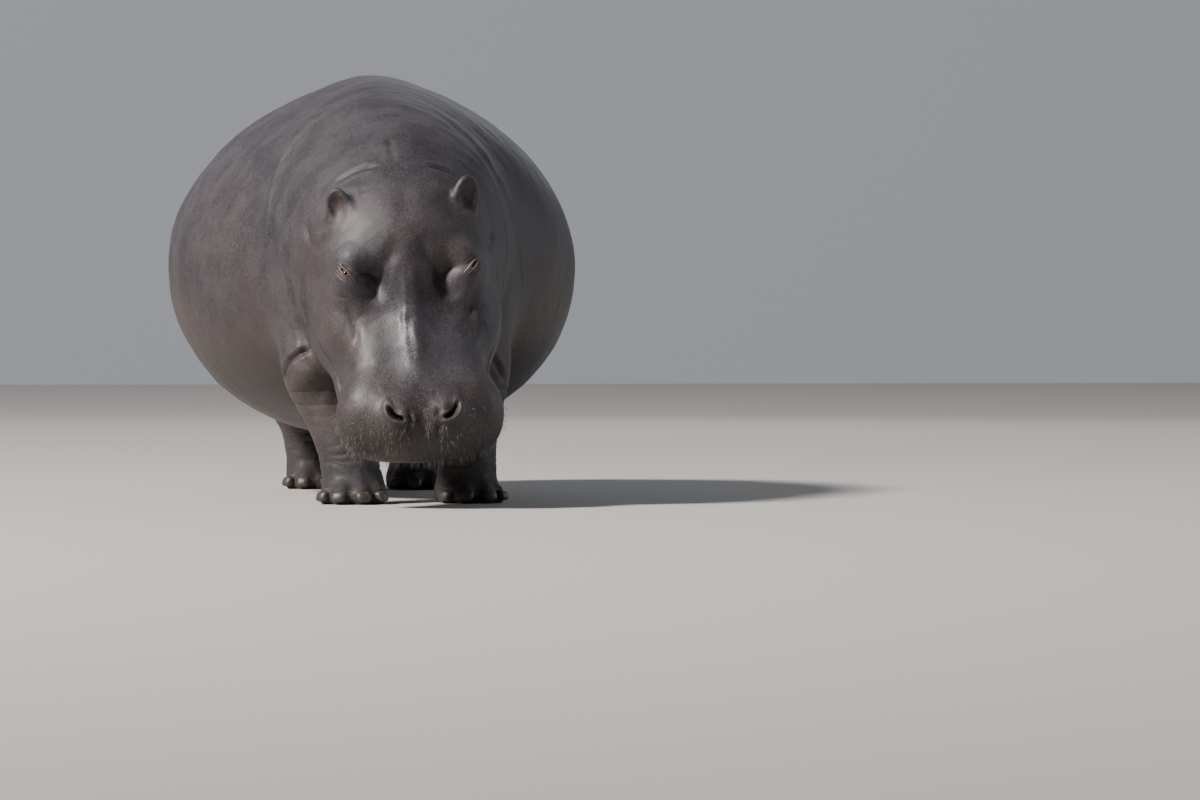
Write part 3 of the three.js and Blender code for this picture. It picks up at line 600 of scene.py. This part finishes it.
def paint(s):
    """Where the skin is pink, brown or wet; where folds, hollows and ear cups get painted shade; and where
    lips and feet are dark and pitted, partly as painted shade under the muzzle.
    """
    hollow = np.einsum("ij,ij->i", s.spread(s.at) - s.at, s.out)
    edge = np.linalg.norm(s.at[s.edges[:, 0]] - s.at[s.edges[:, 1]], axis=1)
    a, b = s.edges.T
    length = (np.bincount(a, edge, len(s.at)) + np.bincount(b, edge, len(s.at))) / s.valence
    bend = hollow / np.maximum(length, 1e-4) ** 2
    for _ in range(3):
        bend = 0.5 * bend + 0.5 * s.spread(bend)
    # Painted shade: darker where the skin curves inward, in folds and creases.
    painted_hollow_shade = ease(bend / 14)
    broad = s.at
    for _ in range(14):
        broad = s.spread(broad)
    deep = np.einsum("ij,ij->i", broad - s.at, s.out)
    pink = 0.12 * painted_hollow_shade * ease((s.head[:, 1] + 0.2) / 0.3)
    dark = np.zeros(len(s.at))
    for side in (1, -1):
        centre, out, slit, across = eye_frame(side)
        local = s.at - centre
        ring = np.hypot(local @ slit / 1.35, local @ across / 0.95)
        pink = np.maximum(pink, 0.7 * ease(1 - (ring - 0.006) / 0.026) * (local @ out > 0.005))
        ear = HEAD_INVERSE @ middle_of("ear_left" if side > 0 else "ear_right")
        inner = near(s.head, (ear.x - side * 0.01, ear.y + 0.060, ear.z - 0.02), (0.055, 0.065, 0.07))
        pink = np.maximum(pink, 0.75 * inner)
        cup = ease((deep - 0.0015) / 0.005) * ease(near(s.head, ear, 0.115) * 3)
        tip = ease((s.head[:, 2] - ear.z + 0.03) / 0.05)
        dark = np.maximum(dark, cup * (0.15 + 0.65 * tip))
        pink = np.maximum(pink, cup)
        pink = np.maximum(pink, 0.28 * near(s.head, (side * 0.215, 0.43, -0.11), (0.035, 0.05, 0.05)))
    belly = ease((0.42 - s.at[:, 2]) / 0.25) * ease(-s.out[:, 2] * 1.5) * ease((0.1 - s.head[:, 1]) / 0.2)
    pink = np.maximum(pink, 0.35 * belly)
    pink *= 0.8 + 0.2 * waves(s.at, 0.02, 12)
    brown = np.clip(0.5 + 0.5 * waves(s.at, 0.55, 9), 0, 1) * ease((1.25 - s.at[:, 2]) / 0.7)
    wet = ease((s.head[:, 1] - 0.05) / 0.2) * ease((s.head[:, 2] + 0.22) / 0.15)
    wet *= 0.30 + 0.70 * np.exp(-((s.head[:, 0] + 0.02) / 0.045) ** 2)
    # Painted shade also deep inside the ear cups, most towards their tips.
    painted_hollow_shade = np.maximum(painted_hollow_shade, dark)
    # Darker, pitted lips and feet: pores, and painted shade under the muzzle.
    pores_and_painted_shade = ease((s.head[:, 1] - 0.70) / 0.12) * ease((-0.03 - s.head[:, 2]) / 0.10)
    pores_and_painted_shade = np.maximum(pores_and_painted_shade, ease((0.40 - s.at[:, 2]) / 0.15) * ease((s.head[:, 1] - 0.45) / 0.2))
    pores_and_painted_shade *= ease((s.head[:, 2] + 0.48) / 0.08)
    pores_and_painted_shade = np.maximum(pores_and_painted_shade, 0.9 * ease((0.26 - s.at[:, 2]) / 0.2) * (s.head[:, 2] < -0.48))
    mask(skin.data, "pores_and_painted_shade", pores_and_painted_shade)
    mask(skin.data, "pink", pink)
    mask(skin.data, "painted_hollow_shade", painted_hollow_shade)
    mask(skin.data, "brown", brown)
    mask(skin.data, "wet", wet)


def hole_distance(s):
    """How far each vertex is from the nearer nostril's middle."""
    return np.minimum(*[np.linalg.norm(s.head[:, :2] - (side * NOSTRIL_AT[0], NOSTRIL_AT[1]), axis=1) - 0.03
                        for side in (1, -1)])


s = Surface(skin.data)
paint(s)


# ---- Materials -------------------------------------------------------------------------------

class Nodes:
    """Short hand for building a node tree."""

    def __init__(self, tree):
        self.tree = tree

    def add(self, kind, settings=None, **inputs):
        node = self.tree.nodes.new(kind)
        for name, value in (settings or {}).items():
            setattr(node, name, value)
        for name, value in inputs.items():
            socket = node.inputs[int(name[1:])] if name[0] == "_" else node.inputs[name.replace("_", " ")]
            if isinstance(value, bpy.types.NodeSocket):
                self.tree.links.new(value, socket)
            else:
                socket.default_value = value
        return node

    def math(self, operation, *values, clamp=False):
        inputs = {f"_{i}": v for i, v in enumerate(values)}
        return self.add("ShaderNodeMath", {"operation": operation, "use_clamp": clamp}, **inputs).outputs[0]

    def mix(self, share, a, b):
        node = self.tree.nodes.new("ShaderNodeMix")
        node.data_type = "RGBA"
        for socket, value in ((node.inputs[0], share), (node.inputs[6], a), (node.inputs[7], b)):
            if isinstance(value, bpy.types.NodeSocket):
                self.tree.links.new(value, socket)
            else:
                socket.default_value = value
        return node.outputs[2]

    def between(self, value, low, high):
        return self.add("ShaderNodeMapRange", {"interpolation_type": "SMOOTHSTEP"}, Value=value,
                        From_Min=low, From_Max=high).outputs[0]

    def attribute(self, name):
        return self.add("ShaderNodeAttribute", {"attribute_name": name}).outputs["Fac"]


def grain_group():
    """The hide's pattern: its height, fine cracks, blotches, pale specks and the pebbles between cracks."""
    tree = bpy.data.node_groups.new("hide grain", "ShaderNodeTree")
    tree.interface.new_socket("Vector", in_out="INPUT", socket_type="NodeSocketVector")
    for name in ("Height", "Cracks", "Blotches", "Specks", "Pebbles"):
        tree.interface.new_socket(name, in_out="OUTPUT", socket_type="NodeSocketFloat")
    n = Nodes(tree)
    place = n.add("NodeGroupInput").outputs["Vector"]
    swirl = n.add("ShaderNodeTexNoise", Vector=place, Scale=30.0, Detail=3.0).outputs["Color"]
    shifted = n.add("ShaderNodeVectorMath", {"operation": "MULTIPLY_ADD"}, _0=swirl,
                    _1=(0.03, 0.03, 0.03), _2=place).outputs[0]
    cells = n.add("ShaderNodeTexVoronoi", {"feature": "DISTANCE_TO_EDGE"}, Vector=shifted,
                  Scale=150.0).outputs["Distance"]
    creased = n.add("ShaderNodeTexNoise", Vector=shifted, Scale=26.0, Detail=5.0,
                    Roughness=0.6).outputs["Fac"]
    rough = n.add("ShaderNodeTexNoise", Vector=place, Scale=330.0, Detail=3.0, Roughness=0.65).outputs["Fac"]
    pebble = n.add("ShaderNodeTexNoise", Vector=shifted, Scale=115.0, Detail=3.0,
                   Roughness=0.55).outputs["Fac"]
    lumps = n.add("ShaderNodeTexNoise", Vector=place, Scale=42.0, Detail=4.0, Roughness=0.55).outputs["Fac"]
    patches = n.add("ShaderNodeTexNoise", Vector=place, Scale=7.0, Detail=6.0, Roughness=0.62).outputs["Fac"]
    speck = n.add("ShaderNodeTexNoise", Vector=place, Scale=150.0, Detail=5.0, Roughness=0.78).outputs["Fac"]
    mottle = n.math("MULTIPLY_ADD", pebble, 0.38, n.math("MULTIPLY", patches, 0.62))
    crack = n.between(cells, 0.0, 0.16)
    crease = n.between(n.math("ABSOLUTE", n.math("SUBTRACT", creased, 0.5)), 0.0, 0.028)
    height = n.math("MULTIPLY_ADD", crack, 0.10, n.math("MULTIPLY", rough, 0.34))
    height = n.math("MULTIPLY_ADD", crease, 0.09, height)
    height = n.math("MULTIPLY_ADD", pebble, 0.75, height)
    height = n.math("MULTIPLY_ADD", lumps, 0.9, height)
    both = n.math("MULTIPLY", n.math("MULTIPLY_ADD", crack, 0.4, 0.6),
                  n.math("MULTIPLY_ADD", crease, 0.5, 0.5))
    n.add("NodeGroupOutput", Height=height, Cracks=both, Blotches=n.between(mottle, 0.39, 0.61),
          Specks=n.between(speck, 0.52, 0.70), Pebbles=crack)
    return tree


def hide_material():
    material = bpy.data.materials.new("hide")
    material.use_nodes = True
    n = Nodes(material.node_tree)
    shader = material.node_tree.nodes["Principled BSDF"]
    place = n.add("ShaderNodeTexCoord").outputs["Object"]
    grain = n.add("ShaderNodeGroup", {"node_tree": grain_group()}, Vector=place).outputs
    colour = n.mix(grain["Blotches"], (0.029, 0.026, 0.032, 1), (0.060, 0.052, 0.061, 1))
    colour = n.mix(n.math("MULTIPLY", n.attribute("brown"), 0.55), colour, (0.082, 0.057, 0.045, 1))
    colour = n.mix(n.math("MULTIPLY", grain["Specks"], 0.38), colour, (0.22, 0.20, 0.20, 1))
    colour = n.mix(n.math("MULTIPLY", n.math("SUBTRACT", 1.0, grain["Cracks"]), 0.40), colour,
                   (0.022, 0.019, 0.021, 1))
    colour = n.mix(n.math("MULTIPLY", n.attribute("pink"), 0.75), colour, (0.26, 0.138, 0.115, 1))
    # Painted shade darkens the folds, hollows and ear cups.
    colour = n.mix(n.math("MULTIPLY", n.attribute("painted_hollow_shade"), 0.7), colour, (0.020, 0.014, 0.014, 1))
    # Darkens the lips and feet: dark pores between the pebbles, and painted shade under the muzzle.
    gaps = n.math("MULTIPLY", n.attribute("pores_and_painted_shade"), n.math("SUBTRACT", 1.0, grain["Pebbles"]))
    darker = n.math("MULTIPLY_ADD", n.attribute("pores_and_painted_shade"), 0.40, n.math("MULTIPLY", gaps, 0.5))
    colour = n.mix(darker, colour, (0.020, 0.017, 0.018, 1))
    material.node_tree.links.new(colour, shader.inputs["Base Color"])
    rough = n.math("MULTIPLY_ADD", grain["Blotches"], 0.08, 0.54)
    rough = n.math("MULTIPLY_ADD", n.attribute("wet"), -0.24, rough)
    rough = n.math("MULTIPLY_ADD", grain["Specks"], 0.12, rough)
    material.node_tree.links.new(rough, shader.inputs["Roughness"])
    height = n.math("MULTIPLY_ADD", gaps, -0.9, grain["Height"])
    bump = n.add("ShaderNodeBump", Height=height, Strength=0.55, Distance=0.0022).outputs[0]
    material.node_tree.links.new(bump, shader.inputs["Normal"])
    shader.inputs["Specular IOR Level"].default_value = 0.4
    shader.inputs["Coat Weight"].default_value = 0.07
    shader.inputs["Coat Roughness"].default_value = 0.35
    return material


skin.data.materials.clear()
skin.data.materials.append(hide_material())


# ---- Eyes, nails and bristles ----------------------------------------------------------------

def piece(name, verts, faces, material, slot, replaced=()):
    """A smooth mesh object from arrays, riding on the frame."""
    mesh = bpy.data.meshes.new(name)
    mesh.from_pydata([tuple(v) for v in verts], [], [tuple(f) for f in faces])
    mesh.materials.append(material)
    mesh.polygons.foreach_set("use_smooth", [True] * len(mesh.polygons))
    mesh.update()
    thing = bpy.data.objects.new(name, mesh)
    bpy.context.scene.collection.objects.link(thing)
    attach(thing, "root")
    if replaced:
        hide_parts(*replaced)
    return thing


def eye_material():
    """Amber-brown iris with a wide dark pupil, in a brownish white."""
    material = bpy.data.materials.new("eye")
    material.use_nodes = True
    n = Nodes(material.node_tree)
    shader = material.node_tree.nodes["Principled BSDF"]
    place = n.add("ShaderNodeTexCoord").outputs["Object"]
    veins = n.add("ShaderNodeTexNoise", Vector=place, Scale=420.0, Detail=4.0).outputs["Fac"]
    iris = n.mix(veins, (0.030, 0.014, 0.007, 1), (0.085, 0.042, 0.018, 1))
    white = n.mix(veins, (0.16, 0.085, 0.06, 1), (0.26, 0.17, 0.13, 1))
    colour = n.mix(n.between(n.attribute("ring"), 0.30, 0.36), iris, white)
    colour = n.mix(n.between(n.attribute("pupil"), 0.42, 0.58), colour, (0.003, 0.003, 0.004, 1))
    material.node_tree.links.new(colour, shader.inputs["Base Color"])
    shader.inputs["Roughness"].default_value = 0.06
    shader.inputs["Coat Weight"].default_value = 1.0
    shader.inputs["Coat Roughness"].default_value = 0.02
    return material


def build_eye(name, side, material):
    """A ball with a clear bulge before the iris; its pole looks out between the lids."""
    centre, out, slit, across = eye_frame(side)
    rings, spokes = 28, 40
    verts, ring, pupil = [], [], []
    for i in range(rings + 1):
        polar = math.pi * (i / rings) ** 1.3
        bulge = 0.0012 * max(0.0, 1 - (polar / 0.62) ** 2)
        for j in range(spokes if 0 < i < rings else 1):
            turn = math.tau * j / spokes
            tangent = slit * math.cos(turn) + across * math.sin(turn)
            verts.append(centre + (out * math.cos(polar) + tangent * math.sin(polar)) * (EYE_RADIUS + bulge))
            ring.append(polar / 1.4)
            pupil.append(1 - math.hypot(polar * math.cos(turn) / 0.36, polar * math.sin(turn) / 0.22) / 2)
    faces = []
    row = lambda i, j: 0 if i == 0 else len(verts) - 1 if i == rings else 1 + (i - 1) * spokes + j % spokes
    for i in range(rings):
        for j in range(spokes):
            loop = [row(i, j), row(i + 1, j), row(i + 1, j + 1), row(i, j + 1)]
            faces.append(list(dict.fromkeys(loop)))
    eye = piece(name + "_ball", verts, faces, material, "eye", [name])
    mask(eye.data, "ring", np.array(ring))
    mask(eye.data, "pupil", np.array(pupil))


def nail_material():
    material = bpy.data.materials.new("nail")
    material.use_nodes = True
    n = Nodes(material.node_tree)
    shader = material.node_tree.nodes["Principled BSDF"]
    place = n.add("ShaderNodeTexCoord").outputs["Object"]
    long = n.add("ShaderNodeMapping", Vector=place, Scale=(1.0, 1.0, 0.18)).outputs[0]
    grain = n.add("ShaderNodeTexNoise", Vector=long, Scale=240.0, Detail=4.0).outputs["Fac"]
    worn = n.add("ShaderNodeTexNoise", Vector=place, Scale=60.0, Detail=3.0).outputs["Fac"]
    colour = n.mix(grain, (0.028, 0.022, 0.019, 1), (0.085, 0.068, 0.057, 1))
    colour = n.mix(n.math("MULTIPLY", n.between(worn, 0.5, 0.7), 0.5), colour, (0.15, 0.125, 0.105, 1))
    material.node_tree.links.new(colour, shader.inputs["Base Color"])
    shader.inputs["Roughness"].default_value = 0.45
    bump = n.add("ShaderNodeBump", Height=grain, Strength=0.4, Distance=0.001).outputs[0]
    material.node_tree.links.new(bump, shader.inputs["Normal"])
    return material


def build_nails():
    """Smooth horn caps, rounder than the nail solids that they stand for."""
    verts, faces = [], []
    for name in NAILS:
        low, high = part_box(name)
        middle = (low + high) / 2
        foot = middle_of(name.replace("nail", "foot")[:-2])
        ahead = Vector((middle.x - foot.x, middle.y - foot.y, 0)).normalized()
        beside = Vector((-ahead.y, ahead.x, 0))
        wide = 0.026 if name.startswith("fore") else 0.024
        start = len(verts)
        for i in range(13):
            polar = math.pi * i / 12
            for j in range(20):
                turn = math.tau * j / 20
                x, y, z = math.sin(polar) * math.cos(turn), math.sin(polar) * math.sin(turn), math.cos(polar)
                square = (abs(x) ** 3 + abs(y) ** 3 + abs(z) ** 3) ** (-1 / 3)
                x, y, z = x * square, y * square, z * square
                lean = 0.006 * z
                upright = Vector((0, 0, z * 0.0185 - 0.0005))
                verts.append(middle + beside * x * wide + ahead * (y * 0.018 - lean) + upright)
        for i in range(12):
            for j in range(20):
                a, b = start + i * 20 + j, start + i * 20 + (j + 1) % 20
                faces.append((a, a + 20, b + 20, b))
    verts = [Vector((v.x, v.y, max(v.z, 0.0))) for v in verts]
    thing = piece("nails", verts, faces, nail_material(), "nail", NAILS)
    form = bmesh.new()
    form.from_mesh(thing.data)
    bmesh.ops.remove_doubles(form, verts=form.verts, dist=1e-5)
    bmesh.ops.recalc_face_normals(form, faces=form.faces)
    form.to_mesh(thing.data)
    form.free()


def bristle_material():
    material = bpy.data.materials.new("bristle")
    material.use_nodes = True
    n = Nodes(material.node_tree)
    shader = material.node_tree.nodes["Principled BSDF"]
    tint = n.attribute("tint")
    colour = n.mix(tint, (0.06, 0.045, 0.035, 1), (0.42, 0.36, 0.29, 1))
    material.node_tree.links.new(colour, shader.inputs["Base Color"])
    shader.inputs["Roughness"].default_value = 0.5
    return material


def build_bristles(name, s, weight, count, length, radius, flow, seed, material, pale):
    """Tapering bent bristles at random places of the skin, thicker where weight is greater."""
    rng = np.random.default_rng(seed)
    s.mesh.calc_loop_triangles()
    corners = np.zeros(len(s.mesh.loop_triangles) * 3, np.int64)
    s.mesh.loop_triangles.foreach_get("vertices", corners)
    corners = corners.reshape(-1, 3)
    a, b, c = (s.at[corners[:, i]] for i in range(3))
    area = np.linalg.norm(np.cross(b - a, c - a), axis=1) * weight[corners].mean(1)
    chosen = rng.choice(len(corners), count, p=area / area.sum())
    share = rng.dirichlet((1, 1, 1), count)
    roots = np.einsum("ni,nij->nj", share, s.at[corners[chosen]])
    out = s.out[corners[chosen]].mean(1)
    flow = np.broadcast_to(np.array(flow, float), (count, 3))
    way = out + 0.55 * flow + rng.normal(0, 0.22, (count, 3))
    way /= np.linalg.norm(way, axis=1)[:, None]
    bend = flow * 0.35 + rng.normal(0, 0.12, (count, 3))
    side = np.cross(way, rng.normal(size=(count, 3)))
    side /= np.linalg.norm(side, axis=1)[:, None]
    over = np.cross(way, side)
    long = length * rng.uniform(0.6, 1.15, count)
    steps = np.array([-0.06, 0.35, 0.7, 1.0])
    thick = np.array([1.0, 0.85, 0.55, 0.12]) * radius
    verts, uvs = [], []
    patch = 0.0015 * np.array([(math.cos(t), math.sin(t)) for t in np.arange(3) * math.tau / 3])
    across = (roots[:, 1] + 1.6) / 3.3 * 0.48 + np.where(roots[:, 0] > 0, 0.01, 0.51)
    spread = np.stack([across, roots[:, 2] / 1.7 + 0.02], 1)
    for k, t in enumerate(steps):
        middle = roots + way * (long * t)[:, None] + bend * (long * t * t)[:, None]
        for turn in range(3):
            angle = math.tau * turn / 3
            verts.append(middle + (side * math.cos(angle) + over * math.sin(angle)) * thick[k])
            uvs.append(spread + patch[turn] * (1 - 0.25 * k))
    verts = np.stack(verts, 1).reshape(-1, 3)
    uvs = np.stack(uvs, 1).reshape(-1, 2)
    block = []
    for k in range(3):
        for turn in range(3):
            p, q = k * 3 + turn, k * 3 + (turn + 1) % 3
            block.append((p, q, q + 3, p + 3))
    block += [(9, 10, 11, 11), (2, 1, 0, 0)]
    faces = []
    for i in range(count):
        faces += [tuple(dict.fromkeys(v + i * 12 for v in f)) for f in block]
    thing = piece(name, verts, faces, material, "hide")
    layer = thing.data.uv_layers.new(name="OFBake")
    loops = np.zeros(len(thing.data.loops), np.int64)
    thing.data.loops.foreach_get("vertex_index", loops)
    layer.data.foreach_set("uv", uvs[loops].ravel().astype(np.float32))
    mask(thing.data, "tint", np.repeat(rng.uniform(pale * 0.5, pale, count), 12))
    return thing


eye_skin = eye_material()
build_eye("eye_left", 1, eye_skin)
build_eye("eye_right", -1, eye_skin)
build_nails()

side, ahead, up = s.head.T
muzzle = ease((ahead - 0.72) / 0.10) * ease((0.02 - up) / 0.06) * ease((up + 0.30) / 0.05)
sides = ease((ahead - 0.60) / 0.10) * ease((up + 0.33) / 0.06) * ease((-0.10 - up) / 0.06) * 0.6
open_nostril = ease((hole_distance(s) - 0.012) / 0.02)
hair = bristle_material()
down = HEAD.to_3x3() @ Vector((0, 0.9, -0.5))
lip = np.maximum(muzzle, sides) * open_nostril
build_bristles("lip_bristles", s, lip, 560, 0.020, 0.0005, down, 3, hair, 0.7)
chin = ease((ahead - 0.55) / 0.12) * ease((-0.30 - up) / 0.05) * (up > -0.48)
build_bristles("chin_bristles", s, chin, 160, 0.026, 0.0005, (0, -0.4, -0.7), 4, hair, 0.8)
ears = sum(near(s.at, middle_of(name), 0.115) for name in EARS)
build_bristles("ear_hairs", s, ease(ears * 2.2 - 0.2), 360, 0.008, 0.0003, (0, -0.3, 0.5), 5, hair, 0.4)
tail_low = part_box("tail")[0]
tip = ease((tail_low.z + 0.24 - s.at[:, 2]) / 0.12) * (s.at[:, 1] > tail_low.y + 0.02)
tip *= np.abs(s.at[:, 0]) < 0.2
build_bristles("tail_bristles", s, tip, 420, 0.045, 0.0006, (0, 0.1, -0.9), 6, hair, 0.35)

# ---- Stage -----------------------------------------------------------------------------------

bpy.ops.mesh.primitive_plane_add(size=60, location=(0, 0, 0))
floor = bpy.context.object
floor.name = "floor"
pale = bpy.data.materials.new("floor")
pale.use_nodes = True
pale.node_tree.nodes["Principled BSDF"].inputs["Base Color"].default_value = (0.51, 0.49, 0.465, 1)
pale.node_tree.nodes["Principled BSDF"].inputs["Roughness"].default_value = 0.9
floor.data.materials.append(pale)

WALL_AT = 24
WALL_FROM, WALL_TO = -18, 45   # it ends short on the animal's right, so that it hides nothing from behind
WALL_HEIGHT = 30
wall_mesh = bpy.data.meshes.new("wall")
wall_corners = [(WALL_FROM, WALL_AT, -0.1), (WALL_TO, WALL_AT, -0.1),
                (WALL_TO, WALL_AT, WALL_HEIGHT), (WALL_FROM, WALL_AT, WALL_HEIGHT)]
wall_mesh.from_pydata(wall_corners, [], [(0, 1, 2, 3)])
wall = bpy.data.objects.new("wall", wall_mesh)
bpy.context.scene.collection.objects.link(wall)
glow = bpy.data.materials.new("wall")
glow.use_nodes = True
glow.node_tree.nodes["Principled BSDF"].inputs["Base Color"].default_value = (0.1, 0.1, 0.1, 1)
glow.node_tree.nodes["Principled BSDF"].inputs["Emission Color"].default_value = (0.42, 0.45, 0.50, 1)
glow.node_tree.nodes["Principled BSDF"].inputs["Emission Strength"].default_value = 0.56
wall_mesh.materials.append(glow)

world = bpy.data.worlds.new("studio")
bpy.context.scene.world = world
world.use_nodes = True
world.node_tree.nodes["Background"].inputs["Color"].default_value = (0.85, 0.9, 1, 1)
world.node_tree.nodes["Background"].inputs["Strength"].default_value = 0.09


def lamp(name, at, towards, size, power, colour):
    data = bpy.data.lights.new(name, "AREA")
    data.shape = "DISK"
    data.size = size
    data.energy = power
    data.color = colour
    light = bpy.data.objects.new(name, data)
    bpy.context.scene.collection.objects.link(light)
    light.location = at
    light.rotation_euler = (Vector(towards) - Vector(at)).to_track_quat("-Z", "Y").to_euler()
    return light


lamp("key", (-16.8, -7.0, 17.4), (0, -0.3, 0.8), 3.6, 12700, (1, 0.955, 0.92))
lamp("fill", (12, 0.5, 4.5), (0, 0, 0.8), 8, 320, (0.86, 0.91, 1))
lamp("back", (3, 12, 5), (0, 0.5, 0.8), 6, 120, (0.9, 0.95, 1))

CAMERA_AZIMUTH = math.radians(-4.5)
CAMERA_DISTANCE = 28.0
CAMERA_HEIGHT = 0.87
CAMERA_TILT = math.radians(90 - 1.079)   # a little below level
CAMERA_ASIDE = math.radians(1.689)       # turned from the animal, which stands left of the middle
lens = bpy.data.cameras.new("camera")
lens.lens = 231
lens.sensor_width = 36
lens.clip_end = 200
camera = bpy.data.objects.new("camera", lens)
bpy.context.scene.collection.objects.link(camera)
camera.location = (math.sin(CAMERA_AZIMUTH) * CAMERA_DISTANCE,
                   0.2 - math.cos(CAMERA_AZIMUTH) * CAMERA_DISTANCE, CAMERA_HEIGHT)
camera.rotation_euler = (CAMERA_TILT, 0, CAMERA_AZIMUTH - CAMERA_ASIDE)
bpy.context.scene.camera = camera
